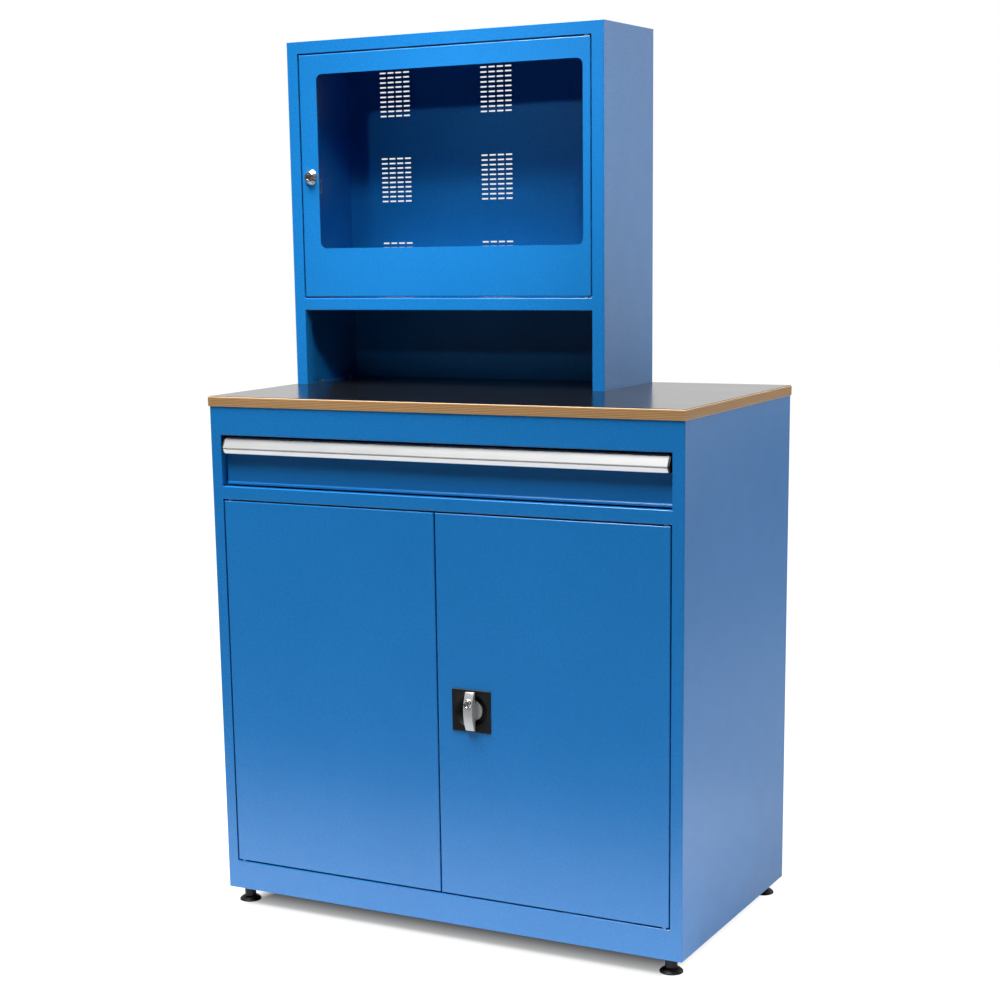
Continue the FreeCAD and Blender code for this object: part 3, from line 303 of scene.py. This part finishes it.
# %% The four metals
ALONG_X, ALONG_Z = (0.04, 1.0, 1.0), (1.0, 1.0, 0.25)
satin_aluminium = metal("satin_aluminium", rgba(156, 157, 158), rgba(176, 176, 176), rough=0.46,
                        grain_scale=220.0, stretch=ALONG_X, depth=0.2 * MM, metallic=0.28,
                        painted_light_below=crease_height)
silver_casting = metal("silver_casting", rgba(170, 171, 171), rgba(196, 196, 195), rough=0.36,
                       grain_scale=900.0, stretch=EVEN, depth=0.2 * MM, metallic=0.45)
polished_lock = metal("polished_lock", rgba(198, 197, 194), rgba(224, 223, 221), rough=0.14,
                      grain_scale=500.0, stretch=EVEN, depth=0.05 * MM, metallic=0.94)
zinc_plate = metal("zinc_plate", rgba(150, 153, 156), rgba(196, 199, 201), rough=0.42,
                   grain_scale=120.0, stretch=ALONG_Z, depth=0.2 * MM)
print("mixed", ", ".join(m.name for m in (satin_aluminium, silver_casting, polished_lock, zinc_plate)))

# %% [markdown]
# ## Plastics and the pane
#
# The lock dish, end caps and feet are moulded black, with the fine spark-eroded grain of a mould. Bushes
# and rod guides are milky nylon. The pane is clear acrylic: most light goes straight through, and a share
# is mirrored, 4 % head on and all of it at a grazing view. In between, the share grows with the fifth power
# of how far the face is turned away. It is the same on both faces of the sheet, where a Fresnel node would
# make the far face a full mirror past 42 degrees.

# %% Plastics
def moulded(name, dark, light, rough):
    skin = Finish(name, IOR=1.36)
    grain = skin.noise(scale=1500.0, detail=3.0)
    cloud = skin.noise(scale=40.0, detail=2.0)
    skin.set("Base Color", skin.blend(grain * 0.5 + cloud * 0.5, dark, light))
    skin.set("Roughness", rough + (grain - 0.5) * 0.2)
    skin.bump(grain, strength=0.2, depth=0.2 * MM)
    return skin.material


black_moulding = moulded("black_moulding", rgba(5, 5, 7), rgba(11, 12, 14), rough=0.5)
milky_nylon = moulded("milky_nylon", rgba(214, 214, 206), rgba(232, 232, 226), rough=0.5)
print("mixed two plastics")

# %% Pane
HEAD_ON_SHARE = 0.04
PANE_TINT = (0.96, 0.975, 0.985, 1.0)


def clear_acrylic(name):
    pane = Finish(name)
    gloss = pane.node("ShaderNodeBsdfGlossy", {}, {"Color": grey(1.0), "Roughness": 0.03}, "BSDF")
    through = pane.node("ShaderNodeBsdfTransparent", {}, {"Color": PANE_TINT}, "BSDF")
    facing = pane.node("ShaderNodeLayerWeight", {}, {"Blend": 0.5}, "Facing")
    square = facing * facing
    mirror = HEAD_ON_SHARE + square * square * facing * (1.0 - HEAD_ON_SHARE)
    both = pane.node("ShaderNodeMixShader", {}, {0: mirror, 1: through, 2: gloss})
    pane.feed(pane.tree.nodes["Material Output"].inputs["Surface"], both)
    pane.tree.nodes.remove(pane.shader)
    return pane.material


window_acrylic = clear_acrylic("window_acrylic")
print("mixed", window_acrylic.name)

# %% [markdown]
# ## Finishes onto the model
#
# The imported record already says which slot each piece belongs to, so one table from slot to finish dresses
# every piece of the model at once.

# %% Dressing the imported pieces
FINISHES = {
    "blue_paint": blue_paint,
    "plywood": ply_edge,
    "dark_laminate": charcoal_top,
    "satin_aluminium": satin_aluminium,
    "black_plastic": black_moulding,
    "zinc_steel": zinc_plate,
    "silver_casting": silver_casting,
    "lock_chrome": polished_lock,
    "white_nylon": milky_nylon,
    "clear_pane": window_acrylic,
}
for subpart in frame["record"]["subparts"]:
    mesh = frame["nodes"][subpart["node"]].data
    mesh.materials.clear()
    mesh.materials.append(FINISHES[subpart["material_slot"]])

# %% [markdown]
# ## Tools for new pieces
#
# The handle rail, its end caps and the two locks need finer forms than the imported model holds. Nearly all
# of their shapes are either a section drawn out along a line, as an extruded bar is, or rings set one
# behind the other and skinned over, as on a lathe. One helper makes each of those, and another rounds
# folds. The last one closes the seams, turns the faces outwards, keeps folds sharper than 35 degrees crisp
# and hands the piece to the body that carries it.

# %% Bars and folds
def extruded_verts(bm, faces):
    """Extrudes faces and gives the new vertices, which are still to be moved."""
    drawn = bmesh.ops.extrude_face_region(bm, geom=faces)["geom"]
    return [part for part in drawn if isinstance(part, bmesh.types.BMVert)]


def drawn_bar(section, start, end):
    """A bar along x with a section of (y, z) corners, in metres."""
    bm = bmesh.new()
    face = bm.faces.new([bm.verts.new((start, y, z)) for y, z in section])
    bmesh.ops.translate(bm, verts=extruded_verts(bm, [face]), vec=(end - start, 0, 0))
    return bm


def round_folds(bm, edges, width, segments=3):
    bmesh.ops.bevel(bm, geom=edges, offset=width, offset_type="OFFSET", affect="EDGES", segments=segments,
                    profile=0.5, material=-1)


print("bars are drawn out along x")

# %% Rings
RING_CORNERS = 64


def ring_reach(way, wide, high=None):
    """How far out a point of a unit circle goes: to a radius, or to the sides of a rectangle."""
    return wide if high is None else 1.0 / max(abs(way.x) / wide, abs(way.y) / high)


def turned(plane, *steps):
    """Rings for a lathe's steps, in millimetres: (radius, depth behind the plane)."""
    return [(radius * MM, plane + depth * MM) for radius, depth in steps]


def skinned_rings(centre, rings, closed=False):
    """Rings round a line along y, skinned one to the next: (radius, y) or (half width, half height, y)."""
    bm = bmesh.new()
    loops = []
    for *reach, y in rings:
        ring = bmesh.ops.create_circle(bm, segments=RING_CORNERS, radius=1.0)["verts"]
        for v in ring:
            v.co *= ring_reach(v.co, *reach)
        lie_flat = Matrix.Translation((centre.x, y, centre.z)) @ Matrix.Rotation(math.pi / 2, 4, "X")
        bmesh.ops.transform(bm, matrix=lie_flat, verts=ring)
        loops.append(list(dict.fromkeys(e for v in ring for e in v.link_edges)))
    for near, far in zip(loops, loops[1:]):
        bmesh.ops.bridge_loops(bm, edges=near + far)
    if closed:
        bmesh.ops.bridge_loops(bm, edges=loops[-1] + loops[0])
    else:
        for loop in (loops[0], loops[-1]):
            bmesh.ops.edgeloop_fill(bm, edges=loop)
    return bm


print("rings have", RING_CORNERS, "corners")

# %% Handing a piece over
WELD = 0.001 * MM
CRISP = math.radians(35)


def as_object(name, bm):
    mesh = bpy.data.meshes.new(name)
    bm.to_mesh(mesh)
    bm.free()
    made = bpy.data.objects.new(name, mesh)
    bpy.context.scene.collection.objects.link(made)
    return made


def hand_over(name, bm, finish, slot, body, *nodes):
    bmesh.ops.remove_doubles(bm, verts=bm.verts, dist=WELD)
    bmesh.ops.recalc_face_normals(bm, faces=bm.faces)
    piece = as_object(name, bm)
    piece.data.shade_smooth()
    piece.data.set_sharp_from_angle(angle=CRISP)
    piece.data.materials.append(finish)
    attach(piece, body)
    if nodes:
        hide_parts(*nodes)
    print(name, len(piece.data.polygons), "faces on", body)


print("folds over", round(math.degrees(CRISP)), "degrees stay crisp")

# %% [markdown]
# ## Drawer handle
#
# The handle is an aluminium section as wide as the drawer. Its broad face leans forward to a nose, below
# which a short lip turns back for the fingers. Two hairlines run along it, a groove under the top edge and
# a crease below the nose, and they draw the dark lines seen along the bar. So the section is drawn corner
# by corner, in millimetres forward and down from the handle's upper back edge, and pulled out along x. The
# black caps at its ends have the same outline, filled.

# %% Section of the rail
rail_low, rail_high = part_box("drawer_handle")
TOP_BACK, TOP_EDGE, NOSE, NOSE_UNDER, LIP, FOOT = (0, 0), (9, 0), (20, 20), (20, 22.5), (14, 31.5), (0, 31.5)
TOP_GROOVE = [(9.96, 1.75), (9.35, 2.09), (9.83, 2.97), (10.45, 2.63)]
NOSE_CREASE = [(20, 21.6), (19.1, CREASE_DROP), (19.56, 23.17)]
RAIL_INSIDE = [(12, 30.5), (18, 22.5), (18, 21), (8, 2), (2, 2), (2, 28), (0, 28)]
SAME_PLACE = 0.01 * MM


def from_back_edge(corners):
    return [(rail_high.y - forward * MM, rail_high.z - down * MM) for forward, down in corners]


def edges_at(bm, corners):
    """The edges along x at these corners of the section."""
    return [e for y, z in from_back_edge(corners) for e in bm.edges
            if all(abs(v.co.y - y) + abs(v.co.z - z) < SAME_PLACE for v in e.verts)]


print("rail", round(rail_high.x - rail_low.x, 4), "m long")

# %% Handle rail
RAIL_SECTION = [TOP_BACK, TOP_EDGE, *TOP_GROOVE, NOSE, *NOSE_CREASE, LIP, *RAIL_INSIDE]
rail = drawn_bar(from_back_edge(RAIL_SECTION), rail_low.x, rail_high.x)
round_folds(rail, edges_at(rail, [TOP_EDGE, NOSE]), width=0.6 * MM)
hand_over("handle_rail", rail, satin_aluminium, "satin_aluminium", "drawer", "drawer_handle")

# %% End caps
CAP_SECTION = [TOP_BACK, TOP_EDGE, NOSE, NOSE_UNDER, LIP, FOOT]
CAP_FOLD = 0.3
cap = drawn_bar(from_back_edge(CAP_SECTION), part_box("drawer_end_caps")[0].x, rail_low.x)
round_folds(cap, [e for e in cap.edges if e.calc_face_angle() > CAP_FOLD], width=0.7 * MM)
outer_face = min(cap.faces, key=lambda f: f.calc_center_median().x)
bmesh.ops.inset_region(cap, faces=[outer_face], thickness=1.6 * MM, depth=-0.5 * MM)
bmesh.ops.mirror(cap, geom=cap.verts[:] + cap.edges[:] + cap.faces[:], axis="X", merge_dist=WELD)
hand_over("handle_end_caps", cap, black_moulding, "black_plastic", "drawer", "drawer_end_caps")

# %% [markdown]
# ## Turn handle
#
# The lock on the right door sits in a square black plate with a round dish. The handle is a casting: a
# rotor disc at the bottom of the dish, a neck, and an arched grip as long as the plate, with a ring round
# the key barrel. The arch comes from spinning one short edge about a far axis, pulling that strip back to a
# flat, and rounding its folds. All the round parts are rings skinned over, and the key slot is a ring
# pressed to a narrow rectangle.

# %% Lock plate and dish
handle_low, handle_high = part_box("turn_handle")
dish_low, dish_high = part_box("lock_dish")
lock = (dish_low + dish_high) / 2
front, back = dish_low.y, dish_high.y
PLATE_CHAMFER = 0.9 * MM
plate = dish_high.x - lock.x
inner_plate = plate - PLATE_CHAMFER
door_face = front + 2 * MM
dish_floor = back - 2.5 * MM
dish = skinned_rings(lock, [
    (plate, plate, door_face),
    (plate, plate, front + PLATE_CHAMFER),
    (inner_plate, inner_plate, front),
    *turned(front, (34.3, 0), (33.5, 0.5)),
    *turned(dish_floor, (27.6, -0.8), (26.6, 0), (6.05, 0)),
    *turned(back, (6.05, 0), (36, 0)),
    *turned(door_face, (36, 0)),
], closed=True)
hand_over("lock_plate_dish", dish, black_moulding, "black_plastic", "right_door", "lock_dish")

# %% Grip
grip_front, grip_back = handle_low.y + 1 * MM, front - 1 * MM
half_long, half_wide = (handle_high.z - handle_low.z) / 2, 9.5 * MM
END_THICK = 4.5 * MM
GRIP_FOLD = 0.6
arch_rise = grip_back - END_THICK - grip_front
arch_radius = (half_long ** 2 + arch_rise ** 2) / (2 * arch_rise)
arch_turn = 2 * math.asin(half_long / arch_radius)
end_y, end_z = grip_front + arch_rise, lock.z - half_long
grip = bmesh.new()
end_edge = grip.edges.new([grip.verts.new((lock.x + side * half_wide, end_y, end_z)) for side in (-1, 1)])
bmesh.ops.spin(grip, geom=[end_edge, *end_edge.verts], cent=(lock.x, grip_front + arch_radius, lock.z),
               axis=(1, 0, 0), angle=-arch_turn, steps=32)
bmesh.ops.scale(grip, verts=extruded_verts(grip, grip.faces[:]), vec=(1, 0, 1),
                space=Matrix.Translation((0, -grip_back, 0)))
bmesh.ops.remove_doubles(grip, verts=grip.verts, dist=WELD)
bmesh.ops.recalc_face_normals(grip, faces=grip.faces)
round_folds(grip, [e for e in grip.edges if e.calc_face_angle() > GRIP_FOLD], width=1.5 * MM, segments=4)
hand_over("grip", grip, silver_casting, "silver_casting", "turn_handle", "turn_handle")

# %% Neck
NECK_HALF_LONG, NECK_HALF_WIDE = 17 * MM, 8.5 * MM
neck_back = dish_floor - 5 * MM
top, bottom = lock.z + NECK_HALF_LONG, lock.z - NECK_HALF_LONG
neck_section = [(grip_back, bottom), (grip_back, top), (neck_back, top), (neck_back, bottom)]
neck = drawn_bar(neck_section, lock.x - NECK_HALF_WIDE, lock.x + NECK_HALF_WIDE)
folds_along_y = [e for e in neck.edges if abs(e.verts[0].co.y - e.verts[1].co.y) > SAME_PLACE]
round_folds(neck, folds_along_y, width=2 * MM)
hand_over("grip_neck", neck, silver_casting, "silver_casting", "turn_handle")

# %% Rotor
rotor_back = dish_floor - 0.3 * MM
rotor = skinned_rings(lock, [
    *turned(handle_high.y, (6, 0)),
    *turned(rotor_back, (6, 0), (19.6, 0), (20, -0.4), (20, -4.2), (19.2, -5)),
])
hand_over("grip_rotor", rotor, silver_casting, "silver_casting", "turn_handle")

# %% Key ring and barrel
barrel_low, barrel_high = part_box("lock_barrel")
key = (barrel_low + barrel_high) / 2
ring_front = handle_low.y
SLOT_HALF_WIDE, SLOT_HALF_LONG = 0.8 * MM, 3.2 * MM
key_ring = skinned_rings(key, [
    *turned(grip_back, (8.5, 0)),
    *turned(ring_front, (8.5, 0.8), (7.8, 0), (7.1, 0), (6.55, 0.5)),
    *turned(grip_back, (6.55, 0)),
], closed=True)
hand_over("key_ring", key_ring, polished_lock, "silver_casting", "turn_handle")
key_barrel = skinned_rings(key, [
    (SLOT_HALF_WIDE, SLOT_HALF_LONG, ring_front + 1.7 * MM),
    (SLOT_HALF_WIDE, SLOT_HALF_LONG, ring_front + 0.6 * MM),
    *turned(ring_front, (4.2, 0.5), (4.5, 0.7), (4.6, 1.4), (5.3, 1.4), (5.6, 0.5), (6.2, 0.3), (6.5, 0.6)),
    *turned(barrel_high.y, (6.5, 0)),
])
hand_over("key_barrel", key_barrel, polished_lock, "lock_chrome", "lock_barrel", "lock_barrel")

# %% [markdown]
# ## Cam lock of the screen door
#
# A polished collar stands on the door like a cut cone. Its face has a broad rim, a fine groove and a narrow
# ring round the plug. A lathe would turn it, and so do rings that narrow towards the front, then go back
# along the bore.

# %% Cam lock collar
cam_low, cam_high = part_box("cam_lock_body")
cam = (cam_low + cam_high) / 2
cam_front, cam_seat = cam_low.y, cam_low.y + 10 * MM
collar = skinned_rings(cam, [
    *turned(cam_seat, (15, 0), (15, -0.9), (14.5, -1.4)),
    *turned(cam_front, (10.4, 0.8), (9.7, 0.1), (7.4, 0.5), (7.2, 1.1), (6.8, 1.1), (6.6, 0.2)),
    *turned(cam_front, (6.0, 0), (5.6, 0.4), (5.55, 1)),
    *turned(cam_high.y, (5.55, 0), (8, 0)),
    *turned(cam_seat, (8, 0)),
], closed=True)
hand_over("cam_lock_collar", collar, polished_lock, "lock_chrome", "screen_door", "cam_lock_body")

# %% [markdown]
# ## Floor
#
# A studio sweep is white paper. Under the plinth it shows a soft shadow, which fades out within a hand's
# breadth and is narrower beside the cabinet than in front of it. That shadow is partly cast and partly
# painted: the paper is toned down for the camera, and a glow lifts it to pure white except in a band laid
# round the cabinet's footprint, where the darkened paper shows as a painted shadow. Camera rays see that
# glow in full, mirrored rays a tenth of it, and scattered light none, so it doesn't light the cabinet. In
# front, where the paper ends and the dark studio begins, the floor fades to charcoal: that is why the upper
# doors mirror nothing pale and only their lower ends do. Behind the cabinet the paper is darkened, a painted
# shade, which the right side mirrors.

# %% Rays and distances
def ray_kind(finish, *kinds):
    """1 on rays of these kinds, 0 on the others."""
    marks = [finish.node("ShaderNodeLightPath", {}, {}, kind) for kind in kinds]
    return sum(marks[1:], marks[0])


def beyond(finish, axis, reach):
    """How far a point lies outside a reach to either side of the middle."""
    return finish.node("ShaderNodeMath", {"operation": "ABSOLUTE"}, {0: finish.axis(axis)}) - reach


reach_x, reach_y = CAD_BOX[1][0], CAD_BOX[1][1]
print("footprint", round(2 * reach_x, 3), "by", round(2 * reach_y, 3), "m")

# %% Paper
CHARCOAL, PAPER_WHITE, NO_GLOW, FULL_GLOW = grey(0.06), grey(0.8), grey(0.0), grey(1.0)
SHADE, TONED_DOWN, MIRRORED_GLOW = 0.6, 0.85, 0.1
SIDE_STEEPNESS, SIDE_LEAD = 3.0, 0.11
paper =Finish("white_paper", Roughness=0.9, Specular_IOR_Level=0.0, Emission_Strength=1.0)
to_camera = ray_kind(paper, "Is Camera Ray")
to_mirror = ray_kind(paper, "Is Glossy Ray", "Is Transmission Ray")
on_paper = paper.between(paper.axis("Y"), low=-1.4, high=-0.4)
# painted shade: behind the cabinet the paper is darkened
shaded = paper.between(paper.axis("Y"), low=0.3, high=1.2) * SHADE
# to camera rays the paper is darkened further; where the glow is held back this shows as a painted shadow
tone = on_paper * (1.0 - shaded) * (1.0 - to_camera * TONED_DOWN)
paper.set("Base Color", paper.blend(tone, CHARCOAL, PAPER_WHITE))
beside = beyond(paper, "X", reach_x) * SIDE_STEEPNESS + SIDE_LEAD
away = paper.node("ShaderNodeMath", {"operation": "MAXIMUM"}, {0: beside, 1: beyond(paper, "Y", reach_y)})
# painted shadow: the glow is held back round the footprint, narrower beside the cabinet than in front
outside_painted_shadow = paper.between(away, low=-0.18, high=0.06)
lift = (to_camera + to_mirror * MIRRORED_GLOW * on_paper) * outside_painted_shadow * outside_painted_shadow
paper.set("Emission Color", paper.blend(lift, NO_GLOW, FULL_GLOW))
print("mixed", paper.material.name)

# %% Floor
FLOOR_WIDE = 30.0
sheet = bmesh.new()
bmesh.ops.create_grid(sheet, x_segments=2, y_segments=2, size=FLOOR_WIDE / 2)
floor = as_object("studio_floor", sheet)
floor.data.materials.append(paper.material)
print("floor laid,", floor.dimensions.x, "m wide")

# %% [markdown]
# ## Sky
#
# The same holds for what lies beyond the paper: plain white to the camera, white to mirrored rays that
# leave towards the back, dark to those that leave towards the front. What lights the cabinet from there is
# a weaker glow from the back.

# %% Sky
SKY_LIGHT = 0.6


class Sky(Finish):
    """A world with its nodes, wired like a finish."""

    def __init__(self, name):
        self.world = bpy.data.worlds.new(name)
        self.world.use_nodes = True
        self.tree = self.world.node_tree


sky = Sky("studio_sky")
heading = sky.node("ShaderNodeTexCoord", {}, {}, "Generated")
heading_y = sky.node("ShaderNodeSeparateXYZ", {}, {"Vector": heading}, "Y")
backwards = sky.between(heading_y, low=-0.35, high=0.15)
seen = ray_kind(sky, "Is Camera Ray")
mirrored = ray_kind(sky, "Is Glossy Ray", "Is Transmission Ray")
glow = seen + (1.0 - seen) * backwards * (mirrored + (1.0 - mirrored) * SKY_LIGHT)
background = sky.tree.nodes["Background"]
sky.feed(background.inputs["Color"], grey(1.0))
sky.feed(background.inputs["Strength"], glow)
bpy.context.scene.world = sky.world
print("sky set, lighting with a strength of", SKY_LIGHT, "from the back")

# %% [markdown]
# ## Lamps
#
# Two soft boxes hang six metres up and in front of the cabinet, a long one on the left and a square, weaker
# one on the right, so the front darkens a little to the right. A card behind on the right gives the side
# its pale sheen. Two small boxes carry honeycomb grids, which narrow their light to a cone. One stands high
# on the right and one far in front, and both shine through the pane onto the back of the screen housing.

# %% Lamps
def soft_box(name, place, target, width, height, watts, spread=180):
    lamp = bpy.data.lights.new(name, "AREA")
    lamp.shape = "RECTANGLE"
    lamp.size = width
    lamp.size_y = height
    lamp.energy = watts
    lamp.spread = math.radians(spread)
    holder = bpy.data.objects.new(name, lamp)
    aim = (Vector(target) - Vector(place)).to_track_quat("-Z", "Y")
    holder.matrix_world = Matrix.Translation(place) @ aim.to_matrix().to_4x4()
    bpy.context.scene.collection.objects.link(holder)
    print(name, watts, "W")


soft_box("over_left", place=(-1.05, -2.05, 6.0), target=(-0.8, -1.9, 0.0), width=3.4, height=1.7, watts=740.0)
soft_box("over_right", place=(1.15, -1.05, 6.0), target=(0.8, -0.95, 0.0), width=1.7, height=1.7, watts=165.0)
soft_box("rear_card", place=(2.6, 1.9, 1.5), target=(0.4, 0.0, 0.9), width=2.2, height=2.2, watts=18.0)
soft_box("grid_high", place=(0.85, -1.7, 3.15), target=(-0.2, 0.1, 1.32), width=0.5, height=0.4,
         watts=1.0, spread=20)
soft_box("grid_low", place=(-0.17, -3.0, 2.48), target=(-0.13, 0.1, 1.62), width=0.16, height=0.12,
         watts=0.32, spread=20)

# %% [markdown]
# ## Camera
#
# The straight edges of the cabinet fix where the photographer stood: to the right of the front, a little
# above the worktop, looking down by some twelve degrees with a long lens. The picture was cropped off
# centre, which a lens shift repeats. The Standard view keeps colours as they are written.

# %% Camera
STANDPOINT = (1.7777, -3.4566, 1.3506)
YAW, PITCH, ROLL = math.radians(29.066), math.radians(11.758), math.radians(-1.114)
ahead = Vector((-math.sin(YAW) * math.cos(PITCH), math.cos(YAW) * math.cos(PITCH), -math.sin(PITCH)))
level = Vector((math.cos(YAW), math.sin(YAW), 0.0))
upright = level.cross(ahead)
right = math.cos(ROLL) * level + math.sin(ROLL) * upright
upward = -math.sin(ROLL) * level + math.cos(ROLL) * upright
turn = Matrix((right, upward, -ahead)).transposed().to_4x4()
lens = bpy.data.cameras.new("photo_camera")
lens.sensor_width = 36.0
lens.lens = 71.09
lens.shift_x = 0.0616
lens.shift_y = 0.1408
camera = bpy.data.objects.new("photo_camera", lens)
camera.matrix_world = Matrix.Translation(STANDPOINT) @ turn
bpy.context.scene.collection.objects.link(camera)
bpy.context.scene.camera = camera
bpy.context.scene.view_settings.view_transform = "Standard"
print("camera at", [round(c, 3) for c in camera.matrix_world.translation])
